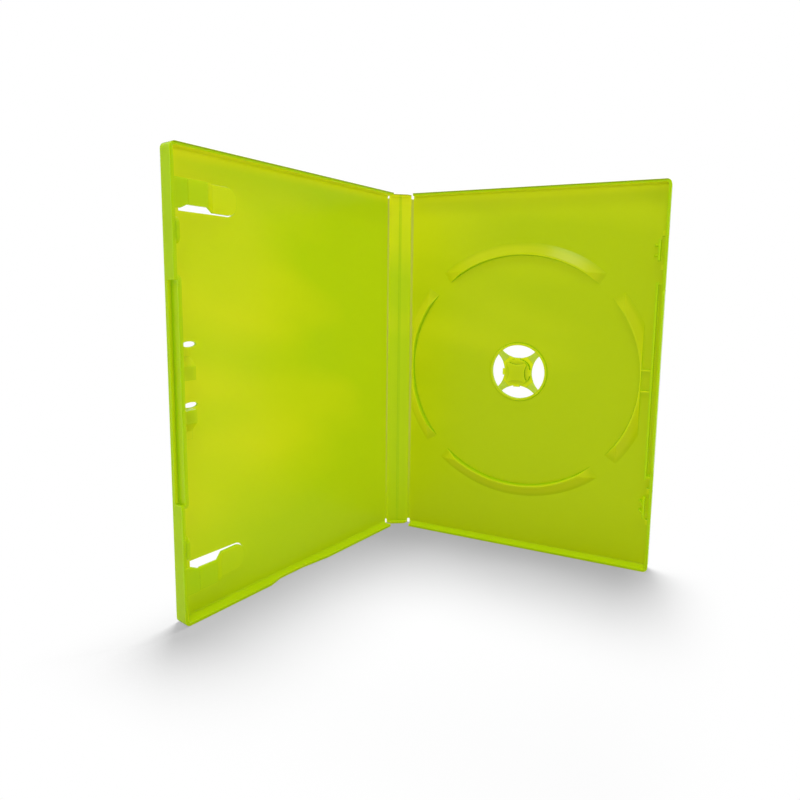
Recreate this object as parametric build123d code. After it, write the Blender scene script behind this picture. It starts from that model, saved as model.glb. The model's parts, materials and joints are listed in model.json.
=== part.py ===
from build123d import *
import os
from math import asin, cos, degrees, radians, sin, sqrt, tan

# A translucent keep case for one 120 mm game disc, standing half open on its bottom edge.
# All lengths are millimetres. Each half is drawn lying on its outer face, as it is moulded:
# X runs from its hinge to its free edge, Y up the case and Z from the outer face into the case.
# The halves are then folded about two upright hinge lines and stood with the tray along X.

# Closed case
CASE_HEIGHT = 190.0
CASE_WIDTH = 135.0
CASE_DEPTH = 14.5
PANEL_THICKNESS = 1.2
EDGE_WALL = 1.4
CORNER_RADIUS = 2.4
OUTER_EDGE_RADIUS = 1.0
COVE_RADIUS = 0.6
CLOSED_GAP = 0.3

# Living hinges and spine
REAR_FOLD = 31.0
FRONT_FOLD = 48.0
WEB_THICKNESS = 0.4
WEB_WIDTH = 1.8
WEB_END_RELIEF = 1.9
SPINE_WALL_HEIGHT = 3.1
SPINE_BEAD_WIDTH = 1.0
SPINE_BEAD_HEIGHT = 0.35
SPINE_BEAD_END = 9.0

# Disc seat in the tray
DISC_DIAMETER = 120.0
DISC_HOLE = 15.0
DISC_THICKNESS = 1.2
DISC_CLEARANCE = 1.2
HUB_FROM_HINGE = 64.2
RING_HEIGHT = 3.0
RING_CREST = 0.9
RING_DRAFT = 0.3
RING_SLOPE = 5.4
RING_ARC = 66.0
RING_END_RUNOUT = 8.0
RING_TO_CHANNEL = 4.4

# Push hub
HUB_OPENING = 28.5
SEAT_WIDTH = 1.5
SEAT_HEIGHT = 0.8
HUB_WINDOW_RADIUS = 12.3
HUB_WAIST = 14.8
HUB_BUTTON_REACH = 9.2
HUB_PLATE = 0.6
HUB_TRAVEL = 1.0
HUB_POST_SIDE = 13.4
HUB_POST_CLEARANCE = 0.3
HUB_LIP_LENGTH = 3.4
HUB_LIP_HEIGHT = 0.7
HUB_GRIP = 0.25
HUB_CROWN_WAIST = 8.4
HUB_CROWN_INSET = 0.3
HUB_CROWN_RADIUS = 8.0
HUB_CROWN_HEIGHT = 1.0

# Interlocking free edges
TONGUE_THICKNESS = 1.5
TONGUE_RISE = 0.2
TONGUE_LENGTH = 92.4
TONGUE_ROUND = 2.4
TONGUE_CLEARANCE = 0.3
SHOULDER_DROP = 4.5
SHOULDER_INSET = 2.0
GRIP_RISE = 2.4
TAB_LENGTH = 9.8
TAB_FROM_MIDDLE = 62.7
CHANNEL_RIB = 1.0
CHANNEL_RISE = 1.0
CHANNEL_MARGIN = 1.4
BRACE_THICKNESS = 0.9
BRACE_HEIGHT = 1.8
BRACE_SPACING = 10.4
GUSSET_LENGTH = 1.9
GUSSET_SPACING = 4.8
STOP_LENGTH = 2.6
STOP_HEIGHT = 2.2
STOP_GAP = 1.8

# Booklet clips in the front cover
CLIP_THICKNESS = 1.1
CLIP_ROOT_HEIGHT = 6.3
CLIP_ROOT_LENGTH = 5.8
CLIP_ROOT_FLARE = 3.0
CLIP_ROOT_STEP = 0.6
CLIP_ROOT_RISER = 0.9
CLIP_NECK_LENGTH = 9.1
CLIP_NECK_INSET = 1.6
CLIP_NECK_ROUND = 2.0
CLIP_PAD_STEP = 2.6
CLIP_PAD_RISER = 4.0
CLIP_PAD_LENGTH = 16.2
CLIP_TIP_DROP = 0.9
CLIP_TIP_ROUND = 4.5
CLIP_WIDTH = 11.2
CLIP_FROM_MIDDLE = 71.1
CLIP_WINDOW_MARGIN = 0.4
CLIP_WINDOW_TO_WALL = 5.0

# Stepped blocks behind the tongue, each with a slot in the floor above it
BLOCK_REACH = 6.0
BLOCK_LENGTH = 12.6
BLOCK_LOW_HEIGHT = 0.8
BLOCK_TALL_HEIGHT = 4.5
BLOCK_LOW_LENGTH = 3.6
BLOCK_TALL_LENGTH = 5.3
BLOCK_SPACING = 24.6
BLOCK_BELOW_MIDDLE = 0.8
SLOT_LENGTH = 6.2
SLOT_WIDTH = 2.3
SLOT_FROM_TONGUE = 3.2

# Shallow dip in the mouth of the front cover's bottom wall, longer towards the hinge
RELIEF_FROM_HINGE = 77.2
RELIEF_LENGTH = 13.6
RELIEF_DEPTH = 2.0
RELIEF_RUNOUT = 7.0
RELIEF_HINGE_RUNOUT = 16.0

# Places that follow from the sizes above
AXIS_INSET = WEB_THICKNESS / 2
HINGE_PITCH = CASE_DEPTH - 2 * AXIS_INSET
PANEL_REACH = CASE_WIDTH - AXIS_INSET
RIM_HEIGHT = (CASE_DEPTH - CLOSED_GAP) / 2
HINGE_EDGE = WEB_WIDTH / 2
MITRE_SETBACK = CLOSED_GAP / sqrt(2)
SPINE_WALL_TOP = SPINE_WALL_HEIGHT - AXIS_INSET
END_WALL_START = SPINE_WALL_TOP + CLOSED_GAP
MIDDLE = CASE_HEIGHT / 2
WALL_INSIDE = PANEL_REACH - EDGE_WALL
TONGUE_INSIDE = WALL_INSIDE - TONGUE_THICKNESS
TONGUE_TOP = RIM_HEIGHT + TONGUE_RISE
CHANNEL_OUTSIDE = TONGUE_INSIDE - TONGUE_CLEARANCE
CHANNEL_INSIDE = CHANNEL_OUTSIDE - CHANNEL_RIB
CHANNEL_LENGTH = TONGUE_LENGTH + 2 * CHANNEL_MARGIN
CHANNEL_TOP = RIM_HEIGHT + CHANNEL_RISE
SHOULDER_LENGTH = TONGUE_LENGTH - 2 * SHOULDER_INSET
SHOULDER_HEIGHT = RIM_HEIGHT - SHOULDER_DROP
RING_INSIDE = DISC_DIAMETER / 2 + DISC_CLEARANCE
RING_CHORD = CHANNEL_INSIDE - RING_TO_CHANNEL
SEAT_TOP = PANEL_THICKNESS + SEAT_HEIGHT
HUB_GRIP_HEIGHT = SEAT_TOP + DISC_THICKNESS
FAR = 2 * CASE_HEIGHT

# Placing: the outer face of a half stands on the hinge plane, turned to face the inside of the case
STANDING = Plane.XZ.offset(-AXIS_INSET).location
MIRRORED_HEIGHT = Plane(origin=(0, MIDDLE, 0), z_dir=(0, 1, 0))
FRONT_AXIS = Vector(-cos(radians(REAR_FOLD)), -sin(radians(REAR_FOLD))) * HINGE_PITCH


def block(x_range, y_range, z_range):
    """A square block between two places along X, Y and Z."""
    low = Vector(x_range[0], y_range[0], z_range[0])
    high = Vector(x_range[1], y_range[1], z_range[1])
    size = high - low
    return Location((low + high) / 2) * Box(size.X, size.Y, size.Z)


def centred(middle, length):
    """The two ends of a stretch of that length about a middle."""
    return (middle - length / 2, middle + length / 2)


def both_ends(solid):
    """A feature near the top of the case, and its mirror image near the bottom."""
    return [solid, mirror(solid, MIRRORED_HEIGHT)]


# Shells of the two halves and the spine


def half_outline(inset):
    """The outline of a half, drawn in by an inset at its three walls and open at the hinge."""
    width = PANEL_REACH - HINGE_EDGE - inset
    height = CASE_HEIGHT - 2 * inset
    sheet = Pos(HINGE_EDGE + width / 2, MIDDLE) * Rectangle(width, height)
    free_corners = sheet.vertices().group_by(Axis.X)[-1]
    return fillet(free_corners, CORNER_RADIUS - inset)


def away_from_hinge(face):
    """The edges of a face other than the straight one along the hinge."""
    return face.edges().sort_by(Axis.X)[1:]


def mitre_section():
    """The wedge taken off a hinge side so that it clears its neighbour when the case is shut."""
    slope_start = HINGE_EDGE - MITRE_SETBACK + AXIS_INSET
    slope_end = END_WALL_START - MITRE_SETBACK + AXIS_INSET
    return Polygon(
        (HINGE_EDGE, -FAR),
        (HINGE_EDGE, slope_start),
        (END_WALL_START, slope_end),
        (END_WALL_START, FAR),
        (-FAR, FAR),
        (-FAR, -FAR),
        align=None,
    )


def mitre_cut():
    """The mitre wedge, drawn out over the whole height."""
    return extrude(Plane.XZ * mitre_section(), FAR, both=True)


def half_shell():
    """The floor of a half with its top, bottom and free-edge walls."""
    shell = extrude(half_outline(0), RIM_HEIGHT)
    outer_face = shell.faces().sort_by(Axis.Z)[0]
    shell = fillet(away_from_hinge(outer_face), OUTER_EDGE_RADIUS)
    hollow = extrude(half_outline(EDGE_WALL), FAR)
    hollow_floor = hollow.faces().sort_by(Axis.Z)[0]
    hollow = fillet(away_from_hinge(hollow_floor), COVE_RADIUS)
    return shell - Pos(0, 0, PANEL_THICKNESS) * hollow


def make_spine():
    """The spine strip with its low end walls, mitred along both hinges."""
    bar = block((-HINGE_PITCH + HINGE_EDGE, -HINGE_EDGE), (0, CASE_HEIGHT), (0, SPINE_WALL_HEIGHT))
    tray_side = mirror(mitre_cut(), Plane.YZ)
    front_side = Pos(-HINGE_PITCH, 0, 0) * mitre_cut()
    hollow = block((-FAR, FAR), (EDGE_WALL, CASE_HEIGHT - EDGE_WALL), (PANEL_THICKNESS, FAR))
    bead = block(
        centred(-HINGE_PITCH / 2, SPINE_BEAD_WIDTH),
        (SPINE_BEAD_END, CASE_HEIGHT - SPINE_BEAD_END),
        (PANEL_THICKNESS / 2, PANEL_THICKNESS + SPINE_BEAD_HEIGHT),
    )
    strip = bar - tray_side - front_side - hollow
    return strip + bead


def hinge_web(fold):
    """A living hinge, bent from the X axis round its hinge line by a fold in degrees."""
    bend = HINGE_EDGE / tan(radians(fold / 2))
    centre = (HINGE_EDGE, -bend)
    outside = CenterArc(centre, bend + WEB_THICKNESS / 2, 90, fold)
    inside = CenterArc(centre, bend - WEB_THICKNESS / 2, 90, fold)
    tray_end = Line(outside @ 0, inside @ 0)
    spine_end = Line(outside @ 1, inside @ 1)
    section = make_face([outside, inside, tray_end, spine_end])
    return Pos(0, 0, WEB_END_RELIEF) * extrude(section, CASE_HEIGHT - 2 * WEB_END_RELIEF)


# Disc tray


def on_hub(solid):
    """Moves a solid drawn about the origin to the hub."""
    return Pos(HUB_FROM_HINGE, MIDDLE, 0) * solid


def ring_end_cut(crest):
    """The wedge taken off the end of a ring arc, so that it slopes from its crest to the floor."""
    run = RING_END_RUNOUT * crest / RING_HEIGHT
    beyond = Polygon((run, 0), (FAR, 0), (FAR, FAR), (0, FAR), (0, crest), align=None)
    return Rot(0, 0, RING_ARC / 2) * extrude(Plane.YZ * beyond, FAR)


def disc_ring():
    """Four arcs that keep the disc in place: steep towards the disc, sloping away outside."""
    low = PANEL_THICKNESS / 2
    crest = PANEL_THICKNESS + RING_HEIGHT
    crest_start = RING_INSIDE + RING_DRAFT
    crest_end = crest_start + RING_CREST
    foot = crest_end + RING_SLOPE
    section = Plane.XZ * Polygon(
        (RING_INSIDE, low),
        (RING_INSIDE, PANEL_THICKNESS),
        (crest_start, crest),
        (crest_end, crest),
        (foot, PANEL_THICKNESS),
        (foot, low),
        align=None,
    )
    end_cut = ring_end_cut(crest)
    arc_start = -RING_ARC / 2 - degrees(asin(RING_END_RUNOUT * crest / RING_HEIGHT / RING_INSIDE))
    arc = Rot(0, 0, arc_start) * revolve(section, Axis.Z, -2 * arc_start)
    arc = arc - end_cut - mirror(end_cut, Plane.XZ)
    arcs = [on_hub(Rot(0, 0, turn) * arc) for turn in range(0, 360, 90)]
    beyond_chord = block((RING_CHORD, FAR), (-FAR, FAR), (-FAR, FAR))
    return [arc - beyond_chord for arc in arcs]


def hub_seat():
    """The low lip round the hub opening that the middle of the disc rests on."""
    inner = HUB_OPENING / 2
    section = Plane.XZ * Polygon(
        (inner, PANEL_THICKNESS / 2),
        (inner, SEAT_TOP),
        (inner + SEAT_WIDTH - SEAT_HEIGHT / 2, SEAT_TOP),
        (inner + SEAT_WIDTH, PANEL_THICKNESS),
        (inner + SEAT_WIDTH, PANEL_THICKNESS / 2),
        align=None,
    )
    return on_hub(revolve(section, Axis.Z))


def hub_opening():
    """The round opening that the push hub stands in."""
    return on_hub(Cylinder(HUB_OPENING / 2, FAR))


def tongue_channel():
    """The rib that holds the front cover's long tongue from inside, and low walls at its ends."""
    low = PANEL_THICKNESS / 2
    rib = block((CHANNEL_INSIDE, CHANNEL_OUTSIDE), centred(MIDDLE, CHANNEL_LENGTH), (low, CHANNEL_TOP))
    end_middle = MIDDLE + (CHANNEL_LENGTH - CHANNEL_RIB) / 2
    end_wall = block(
        (CHANNEL_INSIDE, PANEL_REACH - EDGE_WALL / 2),
        centred(end_middle, CHANNEL_RIB),
        (low, RIM_HEIGHT - CHANNEL_RISE),
    )
    return [rib] + both_ends(end_wall)


def channel_braces():
    """Two low ribs that tie the channel to the disc ring."""
    depth = (PANEL_THICKNESS / 2, PANEL_THICKNESS + BRACE_HEIGHT)
    brace_middle = MIDDLE + BRACE_SPACING / 2
    brace = block((RING_CHORD, CHANNEL_INSIDE), centred(brace_middle, BRACE_THICKNESS), depth)
    return both_ends(brace)


def tab_pocket():
    """The rib, gussets and stops that take one short tab of the front cover."""
    middle = MIDDLE + TAB_FROM_MIDDLE
    low = PANEL_THICKNESS / 2
    rib = block((CHANNEL_INSIDE, CHANNEL_OUTSIDE), centred(middle, TAB_LENGTH), (low, CHANNEL_TOP))
    slope = Polygon(
        (CHANNEL_INSIDE - GUSSET_LENGTH, low),
        (CHANNEL_INSIDE, low),
        (CHANNEL_INSIDE, CHANNEL_TOP),
        (CHANNEL_INSIDE - GUSSET_LENGTH, PANEL_THICKNESS),
        align=None,
    )
    gusset = extrude(Plane.XZ * slope, BRACE_THICKNESS / 2, both=True)
    gussets = [Pos(0, place, 0) * gusset for place in centred(middle, GUSSET_SPACING)]
    stop_reach = (TONGUE_INSIDE, PANEL_REACH - EDGE_WALL / 2)
    stop_spacing = TAB_LENGTH + 2 * STOP_GAP + STOP_LENGTH
    stops = [
        block(stop_reach, centred(place, STOP_LENGTH), (low, PANEL_THICKNESS + STOP_HEIGHT))
        for place in centred(middle, stop_spacing)
    ]
    return [rib] + gussets + stops


def raised_grip():
    """The taller middle of the tray's free edge, which covers the front cover's tongue from outside."""
    low = RIM_HEIGHT / 2
    height = RIM_HEIGHT + GRIP_RISE - low
    sheet = Pos(MIDDLE, low) * Rectangle(
        SHOULDER_LENGTH - 2 * CLOSED_GAP, height, align=(Align.CENTER, Align.MIN)
    )
    sheet = fillet(sheet.vertices().group_by(Axis.Y)[-1], TONGUE_ROUND)
    return Pos(PANEL_REACH, 0, 0) * extrude(Plane.YZ * sheet, -(EDGE_WALL - TONGUE_CLEARANCE))


def make_tray():
    """The half that holds the disc."""
    tray = half_shell()
    tray += disc_ring()
    tray += hub_seat()
    tray += tongue_channel()
    tray += channel_braces()
    for feature in tab_pocket():
        tray += both_ends(feature)
    tray += raised_grip()
    return tray - hub_opening() - mitre_cut()


# Push hub


def hub_spider():
    """The four-armed plate in the hub opening, with a lens-shaped window between two arms."""
    plate = Circle(HUB_OPENING / 2)
    window_centre = HUB_WAIST / 2 + HUB_WINDOW_RADIUS
    for turn in range(0, 360, 90):
        plate -= Rot(0, 0, turn) * Pos(window_centre, 0) * Circle(HUB_WINDOW_RADIUS)
    return plate


def hub_core():
    """The square that parts the button from its arms, across each arm."""
    return Rot(0, 0, 45) * Rectangle(2 * HUB_BUTTON_REACH, 2 * HUB_BUTTON_REACH)


def make_hub_arms():
    """The four arms that flex when the button is pushed."""
    arms = hub_spider() - hub_core()
    return on_hub(Pos(0, 0, HUB_TRAVEL) * extrude(arms, HUB_PLATE))


def hub_post():
    """The square post that fills the disc's hole, rounded at the corners to pass through it."""
    corner_reach = DISC_HOLE / 2 - HUB_POST_CLEARANCE
    corner_round = (HUB_POST_SIDE / sqrt(2) - corner_reach) / (sqrt(2) - 1)
    return RectangleRounded(HUB_POST_SIDE, HUB_POST_SIDE, corner_round)


def hub_crown():
    """The four-pointed top of the post, with hollow sides between its points."""
    crown = offset(hub_post(), -HUB_CROWN_INSET)
    hollow_centre = HUB_CROWN_WAIST / 2 + HUB_CROWN_RADIUS
    for turn in range(0, 360, 90):
        crown -= Rot(0, 0, turn) * Pos(hollow_centre, 0) * Circle(HUB_CROWN_RADIUS)
    return crown


def make_hub_button():
    """The button: a post that fills the disc's hole, with a lip on each side to keep the disc."""
    plate = hub_spider() & hub_core()
    ledge = HUB_GRIP_HEIGHT + HUB_LIP_HEIGHT
    button = Pos(0, 0, HUB_TRAVEL) * extrude(plate, HUB_PLATE)
    button += Pos(0, 0, HUB_TRAVEL) * extrude(hub_post(), ledge - HUB_TRAVEL)
    button += Pos(0, 0, HUB_TRAVEL) * extrude(hub_crown(), ledge + HUB_CROWN_HEIGHT - HUB_TRAVEL)
    lip = block(
        (HUB_CROWN_WAIST / 2, DISC_HOLE / 2 + HUB_GRIP),
        centred(0, HUB_LIP_LENGTH),
        (HUB_GRIP_HEIGHT, ledge),
    )
    for turn in range(0, 360, 90):
        button += Rot(0, 0, turn) * lip
    return on_hub(button)


# Front cover


def edge_plate(length, middle):
    """A plate along the inside of the free edge that stands just above the mouth, round at its ends."""
    low = PANEL_THICKNESS / 2
    sheet = Pos(middle, low) * Rectangle(length, TONGUE_TOP - low, align=(Align.CENTER, Align.MIN))
    sheet = fillet(sheet.vertices().group_by(Axis.Y)[-1], TONGUE_ROUND)
    return Pos(TONGUE_INSIDE, 0, 0) * extrude(Plane.YZ * sheet, TONGUE_THICKNESS)


def grip_clearance():
    """The stretch taken off the front cover's free edge for the tray's raised grip and a thumb groove."""
    return block((WALL_INSIDE, FAR), centred(MIDDLE, SHOULDER_LENGTH), (SHOULDER_HEIGHT, FAR))


def clip_outline(margin):
    """The outline of the upper booklet clip, grown all round by a margin."""
    top = MIDDLE + CLIP_FROM_MIDDLE + CLIP_WIDTH + margin
    wide = MIDDLE + CLIP_FROM_MIDDLE - margin
    narrow = wide + CLIP_NECK_INSET
    neck_start = WALL_INSIDE - CLIP_ROOT_LENGTH
    neck_end = neck_start - CLIP_NECK_LENGTH
    tip = neck_end - CLIP_PAD_LENGTH - margin
    sheet = Polygon(
        (tip, top),
        (tip, wide),
        (neck_end - CLIP_PAD_RISER, wide),
        (neck_end, narrow),
        (neck_start, narrow),
        (neck_start + CLIP_ROOT_FLARE, wide),
        (PANEL_REACH - EDGE_WALL / 2, wide),
        (PANEL_REACH - EDGE_WALL / 2, top),
        align=None,
    )
    tip_corners = sheet.vertices().group_by(Axis.X)[0]
    sheet = fillet(tip_corners, CLIP_TIP_ROUND)
    neck_corners = sheet.vertices().filter_by_position(Axis.X, neck_end - CLIP_PAD_RISER, neck_end)
    return fillet(neck_corners, CLIP_NECK_ROUND)


def clip_section():
    """The stepped side view of a clip, from its root at the wall down to its tip."""
    neck_start = WALL_INSIDE - CLIP_ROOT_LENGTH
    neck_end = neck_start - CLIP_NECK_LENGTH
    neck_height = CLIP_ROOT_HEIGHT - CLIP_ROOT_STEP
    pad_height = neck_height - CLIP_PAD_STEP
    upper = [
        (PANEL_REACH - EDGE_WALL / 2, CLIP_ROOT_HEIGHT),
        (neck_start, CLIP_ROOT_HEIGHT),
        (neck_start - CLIP_ROOT_RISER, neck_height),
        (neck_end, neck_height),
        (neck_end - CLIP_PAD_RISER, pad_height),
        (neck_end - CLIP_PAD_LENGTH, pad_height - CLIP_TIP_DROP),
    ]
    lower = [(x, z - CLIP_THICKNESS) for x, z in reversed(upper)]
    return Polygon(*upper, *lower, align=None)


def booklet_clip():
    """The upper of the two stepped tongues that hold a booklet."""
    strap = extrude(Plane.XZ * clip_section(), FAR, both=True)
    return strap & extrude(clip_outline(0), RIM_HEIGHT)


def clip_window():
    """The opening in the floor under the upper clip, which the clip's mould needs."""
    low_edge = MIDDLE + CLIP_FROM_MIDDLE - CLIP_WINDOW_MARGIN
    neck_end = WALL_INSIDE - CLIP_ROOT_LENGTH - CLIP_NECK_LENGTH
    below_neck = Pos(neck_end - CLIP_PAD_RISER, low_edge) * Rectangle(
        CASE_WIDTH, CLIP_WIDTH / 2, align=(Align.MIN, Align.MIN)
    )
    beside_wall = Pos(WALL_INSIDE - CLIP_WINDOW_TO_WALL, low_edge) * Rectangle(
        CASE_WIDTH, CASE_HEIGHT, align=(Align.MIN, Align.CENTER)
    )
    return extrude(clip_outline(CLIP_WINDOW_MARGIN) + below_neck - beside_wall, PANEL_THICKNESS)


def stepped_block():
    """The lower of two blocks that brace the tongue, low at its lower end and tall at its upper end."""
    low_end = MIDDLE - BLOCK_BELOW_MIDDLE - (BLOCK_SPACING + BLOCK_LENGTH) / 2
    tall_end = low_end + BLOCK_LENGTH
    side = Polygon(
        (low_end, PANEL_THICKNESS / 2),
        (tall_end, PANEL_THICKNESS / 2),
        (tall_end, PANEL_THICKNESS + BLOCK_TALL_HEIGHT),
        (tall_end - BLOCK_TALL_LENGTH, PANEL_THICKNESS + BLOCK_TALL_HEIGHT),
        (low_end + BLOCK_LOW_LENGTH, PANEL_THICKNESS + BLOCK_LOW_HEIGHT),
        (low_end, PANEL_THICKNESS + BLOCK_LOW_HEIGHT),
        align=None,
    )
    return Pos(TONGUE_INSIDE, 0, 0) * extrude(Plane.YZ * side, -BLOCK_REACH)


def stepped_blocks():
    """The two blocks, with their tall ends towards each other."""
    between = Plane(origin=(0, MIDDLE - BLOCK_BELOW_MIDDLE, 0), z_dir=(0, 1, 0))
    return [stepped_block(), mirror(stepped_block(), between)]


def block_slots():
    """The slot in the floor above each block, pointed towards its ends."""
    middle = TONGUE_INSIDE - SLOT_FROM_TONGUE - SLOT_LENGTH / 2
    above = (BLOCK_LENGTH + SLOT_WIDTH) / 2
    slot = extrude(Ellipse(SLOT_LENGTH / 2, SLOT_WIDTH / 2), PANEL_THICKNESS)
    places = centred(MIDDLE - BLOCK_BELOW_MIDDLE, BLOCK_SPACING)
    return [Pos(middle, place + above, 0) * slot for place in places]


def bottom_relief():
    """The shallow dip in the mouth of the bottom wall."""
    start, end = centred(RELIEF_FROM_HINGE, RELIEF_LENGTH)
    dip = Polygon(
        (start, RIM_HEIGHT - RELIEF_DEPTH),
        (end, RIM_HEIGHT - RELIEF_DEPTH),
        (end + RELIEF_RUNOUT, RIM_HEIGHT),
        (start - RELIEF_HINGE_RUNOUT, RIM_HEIGHT),
        align=None,
    )
    return extrude(Plane.XZ * dip, EDGE_WALL * 2, both=True)


def make_front_cover():
    """The half that holds the booklet, drawn before it is mirrored to its own side."""
    cover = half_shell() - grip_clearance() - bottom_relief()
    cover += edge_plate(TONGUE_LENGTH, MIDDLE)
    cover += both_ends(edge_plate(TAB_LENGTH, MIDDLE + TAB_FROM_MIDDLE))
    cover -= both_ends(clip_window())
    cover += both_ends(booklet_clip())
    cover -= block_slots()
    cover += stepped_blocks()
    return cover - mitre_cut()


# Folding the case to its half-open stand

spine_fold = Rot(0, 0, REAR_FOLD)
front_fold = Location(FRONT_AXIS) * Rot(0, 0, REAR_FOLD + FRONT_FOLD)

nodes = {
    "disc_tray": STANDING * make_tray(),
    "hub_button": STANDING * make_hub_button(),
    "hub_arms": STANDING * make_hub_arms(),
    "spine": spine_fold * STANDING * make_spine(),
    "front_cover": front_fold * STANDING * mirror(make_front_cover(), Plane.YZ),
    "rear_hinge_web": hinge_web(REAR_FOLD),
    "front_hinge_web": Location(FRONT_AXIS) * spine_fold * hinge_web(FRONT_FOLD),
}

# The origin lies on the surface the case stands on, below the middle of the open case
whole = Compound(list(nodes.values())).bounding_box()
to_origin = Pos(-(whole.min.X + whole.max.X) / 2, -(whole.min.Y + whole.max.Y) / 2, 0)

os.makedirs("parts", exist_ok=True)
for name, node in nodes.items():
    export_step(to_origin * node, f"parts/{name}.step")

print("rear hinge line", to_origin.position)
print("front hinge line", to_origin.position + FRONT_AXIS)
print("hub axis", to_origin.position + Vector(HUB_FROM_HINGE, AXIS_INSET, MIDDLE))
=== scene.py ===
import json
import math
from collections import namedtuple

import bpy
from mathutils import Matrix, Vector


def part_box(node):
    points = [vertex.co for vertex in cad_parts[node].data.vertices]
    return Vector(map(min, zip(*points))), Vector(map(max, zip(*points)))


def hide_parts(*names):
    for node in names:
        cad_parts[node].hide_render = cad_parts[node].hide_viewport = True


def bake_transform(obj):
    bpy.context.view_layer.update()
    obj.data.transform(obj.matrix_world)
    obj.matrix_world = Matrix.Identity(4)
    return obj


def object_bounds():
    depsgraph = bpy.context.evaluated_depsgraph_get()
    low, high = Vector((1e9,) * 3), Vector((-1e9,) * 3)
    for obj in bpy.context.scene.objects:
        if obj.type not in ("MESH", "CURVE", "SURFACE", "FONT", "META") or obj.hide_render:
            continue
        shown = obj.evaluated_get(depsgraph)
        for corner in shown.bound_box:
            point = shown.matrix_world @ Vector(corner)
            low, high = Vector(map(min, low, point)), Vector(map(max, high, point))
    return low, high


bl_info = {
    "name": "Translucent disc case",
    "version": (1, 0, 0),
    "blender": (4, 5, 0),
    "location": "3D View > Sidebar > Disc Case",
    "description": "Finishes the solids of a half-open disc case and sets them on a white stage",
    "category": "Object",
}

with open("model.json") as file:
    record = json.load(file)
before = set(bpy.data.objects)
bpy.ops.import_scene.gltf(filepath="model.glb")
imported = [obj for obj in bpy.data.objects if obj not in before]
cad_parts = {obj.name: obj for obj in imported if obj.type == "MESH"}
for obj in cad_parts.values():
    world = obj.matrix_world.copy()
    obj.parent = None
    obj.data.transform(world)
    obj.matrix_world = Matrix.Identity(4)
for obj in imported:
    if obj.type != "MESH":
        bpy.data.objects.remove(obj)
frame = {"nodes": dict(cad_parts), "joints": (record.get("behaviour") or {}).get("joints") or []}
cad_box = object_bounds()
joints = {joint["name"]: joint for joint in frame["joints"]}

MM = 0.001
UPWARD = Vector((0, 0, 1))
CASE_TOP = cad_box[1][2]

# Resin
REFRACTION = 1.49
SHINE = 0.04
GLOW_RADIUS = (1.0, 1.0, 0.2)
PANEL_SPREAD = 2.8 * MM
WEB_SPREAD = 0.4 * MM
ARM_SPREAD = 0.6 * MM
GRAIN_STRENGTH = 0.25
GRAIN_DEPTH = 0.4 * MM
CLOUD_SLANT = math.radians(11)
CLOUD_SIZE = (0.11, 0.11, 0.035)
# Colours that dim the painted shade along edges and along the top rim
LINE_SHADE = (0.72, 0.88, 0.6, 1)
RIM_SHADE = (0.5, 0.48, 0.6, 1)
ALL_FAIR = -1.0

# Bending pieces
WEB_TURNS = 16
WEB_LEVELS = 12
ARM_STATIONS = 14
ARM_POINTS = 20
ARM_SQUARENESS = 0.45
SHARP_ANGLE = math.radians(35)

# Stage
FLOOR_HALF = 3.0
FLOOR_LEVEL = -0.1 * MM
FLOOR_ROUGHNESS = 0.9
SHADOW_END = 0.070
WHITE_START = 0.125
LAMP_AIM = (0.0, 0.0, 0.08)
OVERHEAD_SIZE = 0.40
OVERHEAD_PLACE = (-0.13, 0.26, 1.16)
FRONT_SIZE = 0.28
FRONT_PLACE = (0.17, -0.52, 1.03)
CAMERA_PLACE = (0.098381, -0.234522, 0.135695)
CAMERA_YAW = math.radians(24.05)
CAMERA_PITCH = math.radians(6.889)
CAMERA_ROLL = math.radians(0.989)
CAMERA_LENS = 26.442
CAMERA_SENSOR = 36.0
CAMERA_SHIFT = (-0.03469, -0.04450)
CAMERA_CLIP = (0.01, 20.0)

FLOAT = "NodeSocketFloat"
VECTOR = "NodeSocketVector"
COLOUR = "NodeSocketColor"

Panel = namedtuple("Panel", "node tones hinge fold fair_way fair_start")


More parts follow.
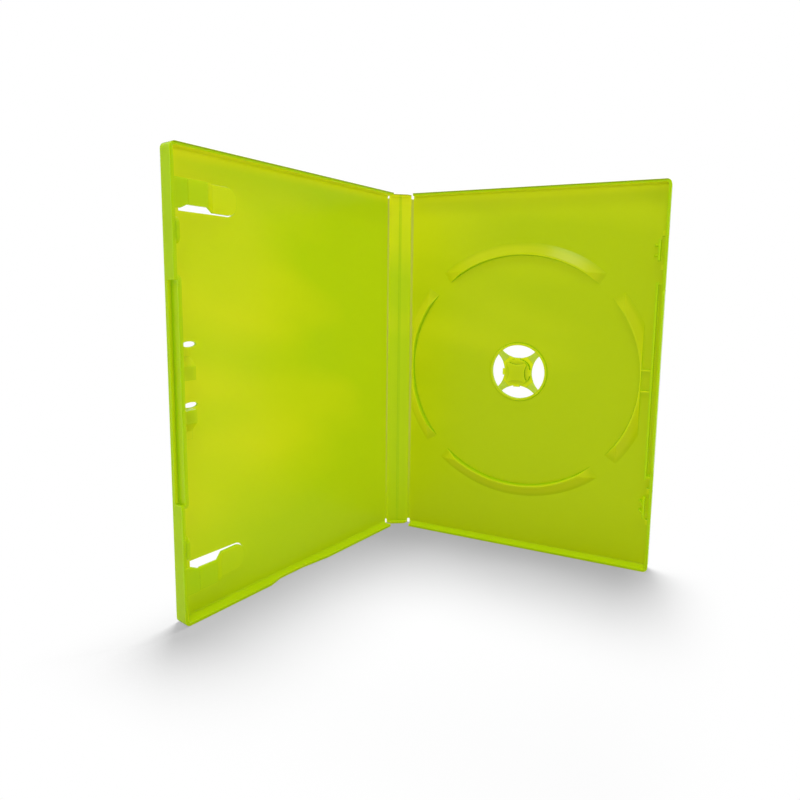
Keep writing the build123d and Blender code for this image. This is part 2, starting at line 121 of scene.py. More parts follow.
class PlasticFinish(bpy.types.PropertyGroup):
    """Colours and finish of the moulded polypropylene."""

    lime: bpy.props.FloatVectorProperty(
        name="Lime", description="Colour of the broad panels",
        subtype="COLOR", size=3, min=0, max=1, default=(0.465, 0.605, 0.003),
    )
    tray: bpy.props.FloatVectorProperty(
        name="Tray", description="Colour of the disc tray's broad panel",
        subtype="COLOR", size=3, min=0, max=1, default=(0.455, 0.555, 0.002),
    )
    # Glint is also the colour of the painted light along the slopes of the tray's disc ring and near its top
    # wall.
    glint: bpy.props.FloatVectorProperty(
        name="Glint", description="Fairer colour at the tray's top and along the slopes of its disc ring",
        subtype="COLOR", size=3, min=0, max=1, default=(0.56, 0.63, 0.005),
    )
    # Fair is also the colour of the painted light near the top walls of the cover and the spine.
    fair: bpy.props.FloatVectorProperty(
        name="Fair", description="Yellower colour at the fair end of a panel",
        subtype="COLOR", size=3, min=0, max=1, default=(0.63, 0.675, 0.006),
    )
    # Leaf is also the colour of the painted shade in creases.
    leaf: bpy.props.FloatVectorProperty(
        name="Leaf", description="Greener colour of ribs, walls and creases, where the resin is deep",
        subtype="COLOR", size=3, min=0, max=1, default=(0.39, 0.565, 0.002),
    )
    pale: bpy.props.FloatVectorProperty(
        name="Pale", description="Paler colour of the living hinges, where the resin is thin and flexed",
        subtype="COLOR", size=3, min=0, max=1, default=(0.50, 0.55, 0.06),
    )
    sprig: bpy.props.FloatVectorProperty(
        name="Sprig", description="Fresh colour of the hub's thin arms",
        subtype="COLOR", size=3, min=0, max=1, default=(0.52, 0.66, 0.05),
    )
    # Crown is also the colour of the painted shade in the creases round the crown.
    crown: bpy.props.FloatVectorProperty(
        name="Crown", description="Deep colour of the steep sides of the push button's crown",
        subtype="COLOR", size=3, min=0, max=1, default=(0.25, 0.44, 0.002),
    )
    # Outline is the painted shade along the edges of the crown.
    outline: bpy.props.FloatVectorProperty(
        name="Outline", description="How the colour is dimmed along the edges of the push button's crown",
        subtype="COLOR", size=3, min=0, max=1, default=(0.45, 0.68, 0.4),
    )
    clarity: bpy.props.FloatProperty(
        name="Clarity", description="Share of the light that passes through the resin",
        subtype="FACTOR", min=0, max=1, default=0.10,
    )
    glow: bpy.props.FloatProperty(
        name="Glow", description="Share of the light that spreads inside the resin",
        subtype="FACTOR", min=0, max=1, default=0.9,
    )
    haze: bpy.props.FloatProperty(
        name="Haze", description="Roughness of the satin surface",
        subtype="FACTOR", min=0, max=1, default=0.22,
    )
    body: bpy.props.FloatVectorProperty(
        name="Body", description="Colour that light keeps on its way through deep resin",
        subtype="COLOR", size=3, min=0, max=1, default=(0.45, 0.85, 0.0),
    )
    density: bpy.props.FloatProperty(
        name="Density", description="How fast the resin takes up light, per metre",
        min=0, max=1000, default=40.0,
    )


class HingeShape(bpy.types.PropertyGroup):
    """Sizes of the two living hinges and of the panels beside them."""

    width: bpy.props.FloatProperty(
        name="Web width", description="Width of a hinge web laid flat",
        unit="LENGTH", min=0.0005, max=0.01, default=1.8 * MM,
    )
    thickness: bpy.props.FloatProperty(
        name="Web thickness", description="Thickness of a hinge web at its edges",
        unit="LENGTH", min=0.0001, max=0.002, default=0.4 * MM,
    )
    groove: bpy.props.FloatProperty(
        name="Groove depth", description="How much thinner a web is along its middle",
        unit="LENGTH", min=0, max=0.001, default=0.12 * MM,
    )
    notch: bpy.props.FloatProperty(
        name="End notch", description="How far each end of a web is hollowed",
        unit="LENGTH", min=0, max=0.003, default=0.3 * MM,
    )
    floor: bpy.props.FloatProperty(
        name="Floor", description="Distance from a hinge line to the inner face of the panels beside it",
        unit="LENGTH", min=0, max=0.005, default=1.0 * MM,
    )
    reach: bpy.props.FloatProperty(
        name="Panel reach", description="Distance from a hinge line to the free edge of a panel",
        unit="LENGTH", min=0.05, max=0.3, default=134.8 * MM,
    )
    bead: bpy.props.FloatProperty(
        name="Bead", description="Width of the low bead along the middle of the spine",
        unit="LENGTH", min=0.0002, max=0.005, default=1.0 * MM,
    )


class HubShape(bpy.types.PropertyGroup):
    """Sizes of the four flexing arms of the push hub."""

    opening: bpy.props.FloatProperty(
        name="Hub opening", description="Width of the round opening that the arms reach to",
        unit="LENGTH", min=0.01, max=0.06, default=28.5 * MM,
    )
    reach: bpy.props.FloatProperty(
        name="Button reach", description="Distance from the hub's axis at which an arm leaves the button",
        unit="LENGTH", min=0.002, max=0.03, default=9.2 * MM,
    )
    waist: bpy.props.FloatProperty(
        name="Waist", description="Width of the hub between two opposite windows",
        unit="LENGTH", min=0.005, max=0.03, default=14.8 * MM,
    )
    window_radius: bpy.props.FloatProperty(
        name="Window radius", description="Radius of the hollow side of a window",
        unit="LENGTH", min=0.005, max=0.05, default=12.3 * MM,
    )


class StageLight(bpy.types.PropertyGroup):
    """Levels of the soft studio light."""

    surround: bpy.props.FloatProperty(
        name="Surround", description="Strength of the even light from all round",
        min=0, max=2, default=0.86,
    )
    overhead: bpy.props.FloatProperty(
        name="Overhead", description="Power of the softbox that lights the floor and casts the case's shadow",
        subtype="POWER", min=0, max=200, default=24.0,
    )
    front: bpy.props.FloatProperty(
        name="Front", description="Power of the softbox above the open side",
        subtype="POWER", min=0, max=200, default=2.8,
    )
    floor: bpy.props.FloatVectorProperty(
        name="Floor", description="Colour of the floor",
        subtype="COLOR", size=3, min=0, max=1, default=(0.385, 0.385, 0.385),
    )


def place(tree, kind, **settings):
    """A node in a tree, with settings given by name."""
    node = tree.nodes.new(kind)
    for name, value in settings.items():
        setattr(node, name, value)
    return node


def feed(tree, socket, value):
    """Joins a socket to the one that feeds it, or gives it a plain value."""
    if isinstance(value, bpy.types.NodeSocket):
        tree.links.new(value, socket)
    else:
        socket.default_value = value


def feed_named(tree, node, values):
    """Feeds several sockets of a node by their names."""
    for name, value in values.items():
        feed(tree, node.inputs[name], value)


def reckon(tree, operation, *values, clamp=False):
    """Result of a sum on single values."""
    node = place(tree, "ShaderNodeMath", operation=operation, use_clamp=clamp)
    for socket, value in zip(node.inputs, values):
        feed(tree, socket, value)
    return node.outputs["Value"]


def dot(tree, first, second):
    """Dot product of two vectors."""
    node = place(tree, "ShaderNodeVectorMath", operation="DOT_PRODUCT")
    feed(tree, node.inputs[0], first)
    feed(tree, node.inputs[1], second)
    return node.outputs["Value"]


def parts(tree, vector):
    """The X, Y and Z of a vector."""
    node = place(tree, "ShaderNodeSeparateXYZ")
    feed(tree, node.inputs[0], vector)
    return node.outputs


def ramp(tree, value, low, high, bottom=0.0, top=1.0, smooth=False):
    """A value that goes from bottom to top while the one it follows goes from low to high."""
    kind = "SMOOTHSTEP" if smooth else "LINEAR"
    node = place(tree, "ShaderNodeMapRange", interpolation_type=kind)
    ends = {"From Min": low, "From Max": high, "To Min": bottom, "To Max": top}
    feed_named(tree, node, {"Value": value, **ends})
    return node.outputs["Result"]


def noise(tree, where, scale, detail):
    """Strength of a noise."""
    node = place(tree, "ShaderNodeTexNoise")
    feed_named(tree, node, {"Vector": where, "Scale": scale, "Detail": detail})
    return node.outputs["Fac"]


def mixed(tree, share, first, second, blend_type="MIX"):
    """A mix of two colours."""
    node = place(tree, "ShaderNodeMix", data_type="RGBA", blend_type=blend_type)
    feed_named(tree, node, {"Factor": share, "A": first, "B": second})
    return node.outputs["Result"]


def new_group(name, inputs, outputs):
    """A shader node group with named sockets, and the sockets at its two ends."""
    group = bpy.data.node_groups.new(name, "ShaderNodeTree")
    for label, kind, default in inputs:
        socket = group.interface.new_socket(name=label, in_out="INPUT", socket_type=kind)
        socket.default_value = default
    for label, kind in outputs:
        group.interface.new_socket(name=label, in_out="OUTPUT", socket_type=kind)
    given = place(group, "NodeGroupInput")
    made = place(group, "NodeGroupOutput")
    return group, given.outputs, made.inputs


def satin_grain_group():
    """Surface of the moulded plastic: fine satin grain, a slow waviness and faint rubs."""
    known = bpy.data.node_groups.get("satin_grain")
    if known:
        return known
    group, given, made = new_group(
        "satin_grain",
        [("Haze", FLOAT, 0.3)],
        [("Height", FLOAT), ("Roughness", FLOAT)],
    )
    where = place(group, "ShaderNodeTexCoord").outputs["Object"]
    grain = noise(group, where, scale=1400.0, detail=2.0)
    wave = noise(group, where, scale=28.0, detail=1.0)
    grain_share = 0.004
    feed(group, made["Height"], reckon(group, "MULTIPLY_ADD", grain, grain_share, wave))
    stretch = place(group, "ShaderNodeMapping")
    feed_named(group, stretch, {"Vector": where, "Scale": (900.0, 900.0, 60.0)})
    rub = noise(group, stretch.outputs["Vector"], scale=1.0, detail=3.0)
    rubbed = ramp(group, rub, low=0.3, high=0.7, bottom=-0.012, top=0.02)
    feed(group, made["Roughness"], reckon(group, "ADD", given["Haze"], rubbed, clamp=True))
    return group


def resin_depth_group():
    """Masks of a moulded panel: deep resin with painted shade in its creases, painted shade lines along edges
    and at the foot of low features, painted shade along the top rim, and painted light on low swells and near
    the top wall.
    """
    known = bpy.data.node_groups.get("resin_depth")
    if known:
        return known
    masks = ("Depth", "Edge Shade", "Rim Shade", "Painted Light", "Skylight")
    group, given, made = new_group(
        "resin_depth",
        [("Inside", VECTOR, (0, -1, 0)), ("Floor Level", FLOAT, 0.0)],
        [(mask, FLOAT) for mask in masks],
    )
    where = place(group, "ShaderNodeTexCoord").outputs
    height = parts(group, where["Object"])["Z"]
    lean = parts(group, where["Normal"])["Z"]

    # Height above the panel's floor, and steepness of its faces
    level = dot(group, where["Object"], given["Inside"])
    rise = reckon(group, "SUBTRACT", level, given["Floor Level"])
    raised = ramp(group, rise, low=2.5 * MM, high=6.0 * MM, smooth=True)
    facing = reckon(group, "ABSOLUTE", dot(group, where["Normal"], given["Inside"]))
    steep = ramp(group, facing, low=0.85, high=0.25, smooth=True)

    # Painted light: fairer low swells, and painted light near the top, as if it came in through the top wall
    swell_light = ramp(group, rise, low=0.3 * MM, high=1.5 * MM, top=0.65, smooth=True)
    slope_light = reckon(group, "SUBTRACT", swell_light, steep, clamp=True)
    skylight = ramp(
        group, height, low=CASE_TOP - 6.0 * MM, high=CASE_TOP - 1.5 * MM, top=0.7, smooth=True
    )
    feed(group, made["Skylight"], skylight)
    feed(group, made["Painted Light"], reckon(group, "MAXIMUM", slope_light, skylight))

    # Deep resin on ribs and walls, and painted shade in creases, but not on the underside of the top wall,
    # which gets painted light instead
    crease = place(group, "ShaderNodeAmbientOcclusion", samples=8, only_local=True)
    crease.inputs["Distance"].default_value = 2.5 * MM
    openness = crease.outputs["AO"]
    crease_shade = ramp(group, openness, low=0.85, high=0.35, top=0.4)
    shaded = reckon(group, "SUBTRACT", crease_shade, skylight, clamp=True)
    downward = ramp(group, lean, low=-0.4, high=-0.9)
    at_top = ramp(group, height, low=CASE_TOP - 7.0 * MM, high=CASE_TOP - 5.0 * MM)
    lit = reckon(group, "MULTIPLY", downward, at_top)
    standing_up = reckon(group, "MAXIMUM", raised, steep)
    unlit = reckon(group, "SUBTRACT", standing_up, lit, clamp=True)
    feed(group, made["Depth"], reckon(group, "MAXIMUM", unlit, shaded))

    # Painted shade lines along outer edges and at the foot of low features, away from the end walls
    rounded = place(group, "ShaderNodeBevel", samples=6)
    rounded.inputs["Radius"].default_value = 0.45 * MM
    plain = place(group, "ShaderNodeNewGeometry")
    agree = dot(group, rounded.outputs["Normal"], plain.outputs["Normal"])
    edge = ramp(group, agree, low=0.995, high=0.9)
    open_side = ramp(group, openness, low=0.5, high=0.8)
    outer_edge = reckon(group, "MULTIPLY", edge, open_side)
    low_side = reckon(group, "SUBTRACT", steep, raised, clamp=True)
    cornered = ramp(group, openness, low=0.98, high=0.8)
    foot = reckon(group, "MULTIPLY", low_side, cornered)
    lines = reckon(group, "MAXIMUM", outer_edge, foot)
    half = CASE_TOP / 2
    from_middle = reckon(group, "ABSOLUTE", reckon(group, "SUBTRACT", height, half))
    between_walls = ramp(group, from_middle, low=half - 5.0 * MM, high=half - 8.0 * MM)
    feed(group, made["Edge Shade"], reckon(group, "MULTIPLY", lines, between_walls))

    # Painted shade along the thin rim at the top
    border = ramp(group, height, low=CASE_TOP - 0.9 * MM, high=CASE_TOP - 0.2 * MM, smooth=True)
    upright = ramp(group, reckon(group, "ABSOLUTE", lean), low=0.995, high=0.9)
    feed(group, made["Rim Shade"], reckon(group, "MULTIPLY", border, upright))
    return group


def resin_tint_group():
    """Colour of the resin: lime that turns fairer one way, in slow clouds, and fairer still with painted
    light; leaf green where it is deep and as painted shade in creases; painted shade near the floor, along
    edges and along the top rim.
    """
    known = bpy.data.node_groups.get("resin_tint")
    if known:
        return known
    tones = [
        ("Lime", COLOUR, (0.5, 0.6, 0.01, 1)),
        ("Fair", COLOUR, (0.6, 0.7, 0.01, 1)),
        ("Leaf", COLOUR, (0.4, 0.5, 0.01, 1)),
        ("Line", COLOUR, LINE_SHADE),
        ("Fair Way", VECTOR, (0, 0, 0)),
        ("Fair Start", FLOAT, 0.0),
    ]
    masks = [(mask, FLOAT, 0.0) for mask in ("Painted Light", "Depth", "Edge Shade", "Rim Shade")]
    group, given, made = new_group("resin_tint", tones + masks, [("Color", COLOUR)])
    where = place(group, "ShaderNodeTexCoord").outputs["Object"]
    slanting = place(group, "ShaderNodeMapping", vector_type="TEXTURE")
    slant = (-CLOUD_SLANT, CLOUD_SLANT, 0)
    feed_named(group, slanting, {"Vector": where, "Rotation": slant, "Scale": CLOUD_SIZE})
    cloud = noise(group, slanting.outputs["Vector"], scale=1.0, detail=1.5)
    drift = ramp(group, cloud, low=0.3, high=0.7, bottom=-0.45, top=0.45)
    along = dot(group, where, given["Fair Way"])
    past = reckon(group, "SUBTRACT", along, given["Fair Start"])
    drifted = reckon(group, "ADD", past, drift, clamp=True)
    # Painted shade: no fairness near the floor, so the panels are greener low down.
    above = ramp(group, parts(group, where)["Z"], low=12.0 * MM, high=42.0 * MM, smooth=True)
    fairness = reckon(group, "MULTIPLY", drifted, above)
    # Painted light makes places fairer still.
    fairer = reckon(group, "ADD", fairness, given["Painted Light"], clamp=True)
    panel = mixed(group, fairer, given["Lime"], given["Fair"])
    # Leaf green where the resin is deep, and as painted shade in creases.
    deep = mixed(group, given["Depth"], panel, given["Leaf"])
    # Painted shade along edges.
    lined = mixed(group, given["Edge Shade"], deep, given["Line"], "MULTIPLY")
    # Painted shade along the top rim.
    rimmed = mixed(group, given["Rim Shade"], lined, RIM_SHADE, "MULTIPLY")
    feed(group, made["Color"], rimmed)
    return group


def resin(
    name, look, tones, fair_way=(0, 0, 0), fair_start=0.0, inside=None, floor_level=0.0, spread=PANEL_SPREAD
):
    """A translucent moulded plastic, deeper in colour where ribs and walls stand up inside its floor, with
    painted shade in creases, along edges and along the top rim, and painted light on fairer places.
    """
    material = bpy.data.materials.new(name)
    material.use_nodes = True
    tree = material.node_tree
    shader = tree.nodes["Principled BSDF"]
    tint = place(tree, "ShaderNodeGroup", node_tree=resin_tint_group(), name="tint")
    for socket, tone in zip(("Lime", "Fair", "Leaf"), tones):
        tint.inputs[socket].default_value = (*tone, 1)
    tint.inputs["Fair Way"].default_value = fair_way
    tint.inputs["Fair Start"].default_value = fair_start
    if inside is not None:
        depth = place(tree, "ShaderNodeGroup", node_tree=resin_depth_group(), name="depth")
        feed_named(tree, depth, {"Inside": inside, "Floor Level": floor_level})
        for mask in ("Depth", "Edge Shade", "Rim Shade"):
            tree.links.new(depth.outputs[mask], tint.inputs[mask])
        tree.links.new(depth.outputs["Skylight"], tint.inputs["Painted Light"])
    grain = place(tree, "ShaderNodeGroup", node_tree=satin_grain_group())
    grain.inputs["Haze"].default_value = look.haze
    bump = place(tree, "ShaderNodeBump")
    bump.inputs["Strength"].default_value = GRAIN_STRENGTH
    bump.inputs["Distance"].default_value = GRAIN_DEPTH
    tree.links.new(grain.outputs["Height"], bump.inputs["Height"])
    tree.links.new(bump.outputs["Normal"], shader.inputs["Normal"])
    tree.links.new(grain.outputs["Roughness"], shader.inputs["Roughness"])
    tree.links.new(tint.outputs["Color"], shader.inputs["Base Color"])
    shader.inputs["IOR"].default_value = REFRACTION
    shader.inputs["Transmission Weight"].default_value = look.clarity
    shader.inputs["Specular IOR Level"].default_value = SHINE
    shader.inputs["Subsurface Weight"].default_value = look.glow
    shader.inputs["Subsurface Radius"].default_value = GLOW_RADIUS
    shader.inputs["Subsurface Scale"].default_value = spread
    body = place(tree, "ShaderNodeVolumeAbsorption")
    body.inputs["Color"].default_value = (*look.body, 1)
    body.inputs["Density"].default_value = look.density
    tree.links.new(body.outputs[0], tree.nodes["Material Output"].inputs["Volume"])
    return material


def deepen_line(material, middle, across, half_width, depth):
    """Deepens the resin's colour along a narrow rib, given by its middle and the way across it."""
    tree = material.node_tree
    deep = tree.nodes["tint"].inputs["Depth"]
    where = place(tree, "ShaderNodeTexCoord").outputs["Object"]
    aside = reckon(tree, "SUBTRACT", dot(tree, where, across), middle.dot(across))
    gap = reckon(tree, "ABSOLUTE", aside)
    line = ramp(tree, gap, low=1.5 * half_width, high=0.5 * half_width, top=depth, smooth=True)
    before = deep.links[0].from_socket
    tree.links.new(reckon(tree, "MAXIMUM", before, line), deep)


def paint_light_on_swells(material):
    """Paints light on the low swells of a panel, making them fairer."""
    tree = material.node_tree
    tree.links.new(tree.nodes["depth"].outputs["Painted Light"], tree.nodes["tint"].inputs["Painted Light"])


def dress(node, material):
    """Gives a CAD node its finish, and keeps its colour off the floor."""
    piece = frame["nodes"][node]
    for slot in piece.material_slots:
        slot.material = material
    piece.visible_diffuse = False


def flat(x, y):
    """A point or direction at floor level."""
    return Vector((x, y, 0))


def strip_mesh(name, rows):
    """A closed mesh through rows of points, each row a closed loop of the same length."""
    count = len(rows[0])
    points = [point for row in rows for point in row]
    faces = []
    for i in range(len(rows) - 1):
        for k in range(count):
            a = i * count + k
            b = i * count + (k + 1) % count
            faces.append((a, b, b + count, a + count))
    faces.append(tuple(reversed(range(count))))
    faces.append(tuple(range((len(rows) - 1) * count, len(rows) * count)))
    mesh = bpy.data.meshes.new(name)
    mesh.from_pydata([tuple(p) for p in points], [], faces)
    mesh.update()
    piece = bpy.data.objects.new(name, mesh)
    bpy.context.scene.collection.objects.link(piece)
    return piece


def hinge_web(name, joint, node, along, shape):
    """A thin web bent round a hinge line, grooved along its middle and notched at its ends."""
    hinge = Vector(joint["pos_m"])
    hinge.z = 0
    fold = math.radians(-joint["range_deg"][0])
    half = shape.width / 2
    onward = Matrix.Rotation(fold, 3, "Z") @ -along
    bisector = (along + onward).normalized()
    centre = hinge + bisector * (half / math.sin(fold / 2))
    radius = half / math.tan(fold / 2)
    start = (hinge + along * half - centre).normalized()
    low, high = (corner.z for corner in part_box(node))
    rows = []
    for i in range(WEB_TURNS + 1):
        share = i / WEB_TURNS
        spoke = Matrix.Rotation(fold * share, 3, "Z") @ start
        hollow = 1 - (2 * share - 1) ** 2
        depth = (shape.thickness - shape.groove * hollow) / 2
        bottom = low + shape.notch * hollow
        top = high - shape.notch * hollow
        heights = [bottom + (top - bottom) * k / WEB_LEVELS for k in range(WEB_LEVELS + 1)]
        outer = [centre + spoke * (radius + depth) + UPWARD * z for z in heights]
        inner = [centre + spoke * (radius - depth) + UPWARD * z for z in reversed(heights)]
        rows.append(outer + inner)
    piece = strip_mesh(name, rows)
    ends = (hinge + along * half, hinge + onward * half)
    return piece, ends


def rounded_square(value):
    """A sine or cosine drawn out, so that the circle it belongs to becomes a rounded square."""
    return math.copysign(abs(value) ** ARM_SQUARENESS, value)


def hub_arm(name, turn, shape, node):
    """One flexing arm, rounded along its sides, from the button out to the tray."""
    joint_axis = Vector((0, 1, 0))
    low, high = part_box(node)
    hub = (low + high) / 2
    thickness = high.y - low.y
    out = Matrix.Rotation(turn, 3, "Y") @ Vector((1, 0, 0))
    side = joint_axis.cross(out)
    rim = shape.opening / 2
    off = (shape.waist / 2 + shape.window_radius) * math.sqrt(0.5)
    rows = []
    for i in range(ARM_STATIONS + 1):
        share = i / ARM_STATIONS
        length = shape.reach + (rim - shape.reach) * share
        width = off - math.sqrt(shape.window_radius**2 - (length - off) ** 2)
        row = []
        for k in range(ARM_POINTS):
            angle = 2 * math.pi * (k + 0.5) / ARM_POINTS
            aside = width * rounded_square(math.cos(angle))
            lift = rounded_square(math.sin(angle)) * thickness / 2
            end = math.sqrt(rim**2 - aside**2)
            reach = shape.reach + (end - shape.reach) * share
            row.append(hub + out * reach + side * aside + joint_axis * lift)
        rows.append(row)
    piece = strip_mesh(name, rows)
    return piece, (hub + out * rim, hub + out * shape.reach)


def finish_piece(piece, material):
    """Smooth shading, finish and record slot of a piece made here."""
    piece.data.materials.append(material)
    piece.data.shade_smooth()
    piece.data.set_sharp_from_angle(angle=SHARP_ANGLE)
    piece.visible_diffuse = False


class DISCCASE_OT_shells(bpy.types.Operator):
    """Finish the tray, the front cover and the spine"""

    bl_idname = "disc_case.shells"
    bl_label = "Finish shells"

    def execute(self, context):
        look = context.scene.disc_case_plastic
        shape = context.scene.disc_case_hinges
        rear = flat(*joints["rear_hinge"]["pos_m"][:2])
        front = flat(*joints["front_hinge"]["pos_m"][:2])
        rear_fold = math.radians(-joints["rear_hinge"]["range_deg"][0])
        front_fold = rear_fold - math.radians(joints["front_hinge"]["range_deg"][0])
        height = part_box("disc_tray")[1].z
        to_free_edge = Matrix.Rotation(front_fold, 3, "Z") @ flat(-1, 0)
        cover_way = (to_free_edge - 0.2 * UPWARD) / shape.reach
        cover_start = 0.30 + cover_way.dot(front + UPWARD * height / 2)
        tray_tones = (look.tray, look.glint, look.leaf)
        tones = (look.lime, look.fair, look.leaf)
        tray_way = (UPWARD - flat(0.6, 0)) / height
        panels = (
            Panel("disc_tray", tray_tones, rear, 0, tray_way, fair_start=0.42),
            Panel("spine", tones, rear, rear_fold, 1.6 * UPWARD / height, fair_start=0.95),
            Panel("front_cover", tones, front, front_fold, cover_way, cover_start),
        )
        for panel in panels:
            turned = Matrix.Rotation(panel.fold, 3, "Z")
            inside = turned @ flat(0, -1)
            outward = turned @ flat(-1, 0)
            floor_level = inside.dot(panel.hinge) + shape.floor
            name = "lime_polypropylene_" + panel.node
            finish = resin(
                name, look, panel.tones, panel.fair_way, panel.fair_start, inside, floor_level
            )
            # Painted light along the slopes of the tray's disc ring.
            if panel.node == "disc_tray":
                paint_light_on_swells(finish)
            if panel.node == "spine":
                middle = (rear + front) / 2
                deepen_line(finish, middle, outward, half_width=0.7 * shape.bead, depth=0.6)
            if panel.node == "front_cover":
                ledge = front + outward * (shape.reach - 1.0 * MM)
                deepen_line(finish, ledge, outward, half_width=1.3 * MM, depth=0.8)
            dress(panel.node, finish)
        return {"FINISHED"}


class DISCCASE_OT_hinges(bpy.types.Operator):
    """Build the two living hinges"""

    bl_idname = "disc_case.hinges"
    bl_label = "Build living hinges"

    def execute(self, context):
        look = context.scene.disc_case_plastic
        shape = context.scene.disc_case_hinges
        tones = (look.lime, look.pale, look.leaf)
        thin = resin(
            "thin_polypropylene_webs", look, tones, fair_start=ALL_FAIR, spread=WEB_SPREAD
        )
        rear = Vector(joints["rear_hinge"]["pos_m"])
        front = Vector(joints["front_hinge"]["pos_m"])
        pieces = (
            ("rear_living_hinge", "rear_hinge", "rear_hinge_web", flat(1, 0)),
            ("front_living_hinge", "front_hinge", "front_hinge_web", (rear - front).normalized()),
        )
        for name, joint_name, node, along in pieces:
            joint = joints[joint_name]
            piece, (start, end) = hinge_web(name, joint, node, along, shape)
            finish_piece(piece, thin)
            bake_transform(piece)
            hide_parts(node)
        return {"FINISHED"}


class DISCCASE_OT_hub(bpy.types.Operator):
    """Finish the push button and build its four flexing arms"""

    bl_idname = "disc_case.hub"
    bl_label = "Build push hub"

    def execute(self, context):
        look = context.scene.disc_case_plastic
        shape = context.scene.disc_case_hub
        front_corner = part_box("hub_button")[0]
        inside = flat(0, -1)
        tones = (look.lime, look.fair, look.crown)
        button = resin(
            "lime_polypropylene_button", look, tones, fair_start=-0.4,
            inside=inside, floor_level=inside.dot(front_corner),
        )
        # The crown's edges get the outline colour as painted shade.
        button.node_tree.nodes["tint"].inputs["Line"].default_value = (*look.outline, 1)
        dress("hub_button", button)
        tones = (look.lime, look.sprig, look.leaf)
        thin = resin(
            "thin_polypropylene_arms", look, tones, fair_start=ALL_FAIR, spread=ARM_SPREAD
        )
        corners = ("right_low", "left_low", "left_high", "right_high")
        for i, corner in enumerate(corners):
            turn = math.radians(45 + 90 * i)
            piece, (start, end) = hub_arm("hub_arm_" + corner, turn, shape, "hub_arms")
            finish_piece(piece, thin)
            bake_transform(piece)
            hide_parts("hub_arms")
        return {"FINISHED"}


def stage_floor(light):
    """A wide floor that keeps the case's shadow near it and is plain white further away."""
    half = FLOOR_HALF
    corners = [(x, y, FLOOR_LEVEL) for x, y in ((-half, -half), (half, -half), (half, half), (-half, half))]
    mesh = bpy.data.meshes.new("floor")
    mesh.from_pydata(corners, [], [(0, 1, 2, 3)])
    floor = bpy.data.objects.new("floor", mesh)
    bpy.context.scene.collection.objects.link(floor)
    material = bpy.data.materials.new("white_floor")
    material.use_nodes = True
    tree = material.node_tree
    shader = tree.nodes["Principled BSDF"]
    shader.inputs["Base Color"].default_value = (*light.floor, 1)
    shader.inputs["Roughness"].default_value = FLOOR_ROUGHNESS
    shader.inputs["Specular IOR Level"].default_value = 0.0
    white = place(tree, "ShaderNodeEmission")
    where = place(tree, "ShaderNodeTexCoord").outputs["Object"]
    place_on_floor = parts(tree, where)
    aside = reckon(tree, "ABSOLUTE", place_on_floor["X"])
    onward = reckon(tree, "ABSOLUTE", place_on_floor["Y"])
    further = reckon(tree, "MAXIMUM", aside, onward)
    fade = ramp(tree, further, low=SHADOW_END, high=WHITE_START, smooth=True)
    mix = place(tree, "ShaderNodeMixShader")
    tree.links.new(fade, mix.inputs["Fac"])
    tree.links.new(shader.outputs[0], mix.inputs[1])
    tree.links.new(white.outputs[0], mix.inputs[2])
    tree.links.new(mix.outputs[0], tree.nodes["Material Output"].inputs["Surface"])
    mesh.materials.append(material)
    ground = bpy.data.collections.new("ground")
    ground.objects.link(floor)
    return ground


def stage_world(light):
    """White for the camera, in reflections and through the plastic, and an even light for surfaces."""
    world = bpy.data.worlds.new("white_studio")
    bpy.context.scene.world = world
    world.use_nodes = True
    tree = world.node_tree
    background = tree.nodes["Background"]
    path = place(tree, "ShaderNodeLightPath").outputs
    shown = reckon(tree, "MAXIMUM", path["Is Camera Ray"], path["Is Glossy Ray"])
    seen = reckon(tree, "MAXIMUM", shown, path["Is Transmission Ray"])
    level = place(tree, "ShaderNodeMix", data_type="FLOAT")
    feed_named(tree, level, {"Factor": seen, "A": light.surround, "B": 1.0})
    tree.links.new(level.outputs["Result"], background.inputs["Strength"])
    background.inputs["Color"].default_value = (1, 1, 1, 1)


def softbox(name, power, size, place_at, lit=None):
    """A square area light turned towards the case, which can be kept to the pieces of one collection."""
    data = bpy.data.lights.new(name, "AREA")
    data.energy = power
    data.size = size
    lamp = bpy.data.objects.new(name, data)
    lamp.location = place_at
    direction = Vector(LAMP_AIM) - Vector(place_at)
    lamp.rotation_euler = direction.to_track_quat("-Z", "Y").to_euler()
    bpy.context.scene.collection.objects.link(lamp)
    if lit:
        lamp.light_linking.receiver_collection = lit


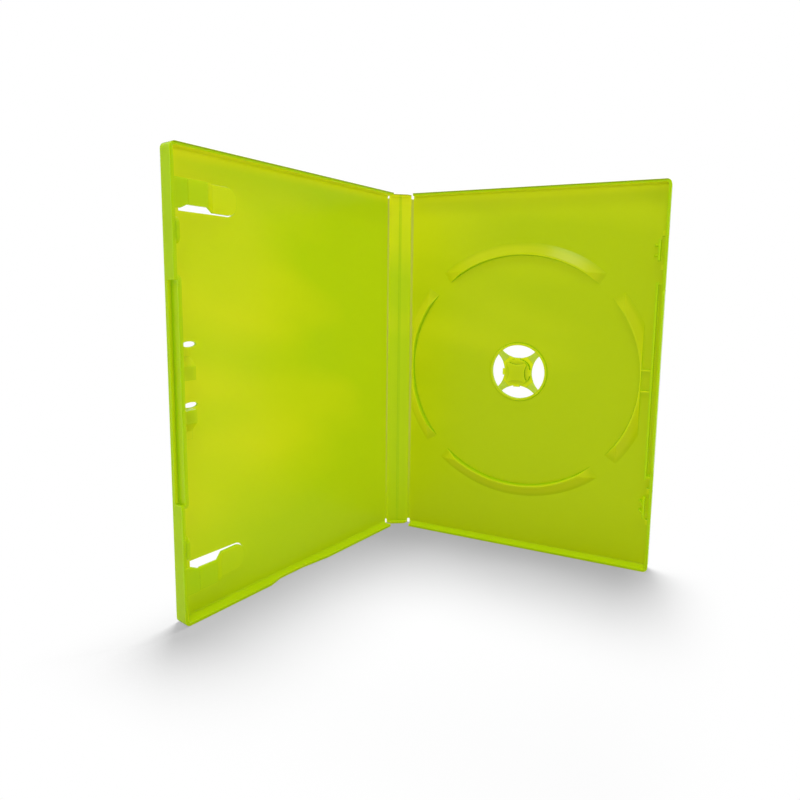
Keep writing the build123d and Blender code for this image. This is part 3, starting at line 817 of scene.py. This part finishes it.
def stage_camera():
    """A camera that sees the case from its open side, a little from the right."""
    data = bpy.data.cameras.new("camera")
    data.sensor_width = CAMERA_SENSOR
    data.lens = CAMERA_LENS
    data.shift_x, data.shift_y = CAMERA_SHIFT
    data.clip_start, data.clip_end = CAMERA_CLIP
    camera = bpy.data.objects.new("camera", data)
    rotation = (
        Matrix.Rotation(CAMERA_YAW, 4, "Z")
        @ Matrix.Rotation(math.pi / 2 - CAMERA_PITCH, 4, "X")
        @ Matrix.Rotation(CAMERA_ROLL, 4, "Z")
    )
    camera.matrix_world = Matrix.Translation(CAMERA_PLACE) @ rotation
    bpy.context.scene.collection.objects.link(camera)
    bpy.context.scene.camera = camera


class DISCCASE_OT_stage(bpy.types.Operator):
    """Set the floor, the light and the camera"""

    bl_idname = "disc_case.stage"
    bl_label = "Set stage"

    def execute(self, context):
        light = context.scene.disc_case_stage
        context.scene.view_settings.view_transform = "Standard"
        ground = stage_floor(light)
        stage_world(light)
        softbox("overhead_softbox", light.overhead, OVERHEAD_SIZE, OVERHEAD_PLACE, lit=ground)
        softbox("front_softbox", light.front, FRONT_SIZE, FRONT_PLACE)
        stage_camera()
        return {"FINISHED"}


class DISCCASE_PT_panel(bpy.types.Panel):
    """Finishes and stage of the disc case"""

    bl_idname = "DISCCASE_PT_panel"
    bl_label = "Disc Case"
    bl_space_type = "VIEW_3D"
    bl_region_type = "UI"
    bl_category = "Disc Case"

    def draw(self, context):
        layout = self.layout
        for operator in operators:
            layout.operator(operator.bl_idname)
        for group in settings:
            box = layout.box()
            values = getattr(context.scene, group)
            for name in values.__annotations__:
                box.prop(values, name)


settings = {
    "disc_case_plastic": PlasticFinish,
    "disc_case_hinges": HingeShape,
    "disc_case_hub": HubShape,
    "disc_case_stage": StageLight,
}
operators = (DISCCASE_OT_shells, DISCCASE_OT_hinges, DISCCASE_OT_hub, DISCCASE_OT_stage)
classes = (*settings.values(), *operators, DISCCASE_PT_panel)


def register():
    """Registers the classes and gives every scene their settings."""
    for item in classes:
        bpy.utils.register_class(item)
    for name, group in settings.items():
        setattr(bpy.types.Scene, name, bpy.props.PointerProperty(type=group))


def unregister():
    """Takes the settings and the classes away again."""
    for name in settings:
        delattr(bpy.types.Scene, name)
    for item in reversed(classes):
        bpy.utils.unregister_class(item)


def main():
    """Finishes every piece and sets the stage."""
    register()
    bpy.ops.disc_case.shells()
    bpy.ops.disc_case.hinges()
    bpy.ops.disc_case.hub()
    bpy.ops.disc_case.stage()


if __name__ == "__main__":
    main()
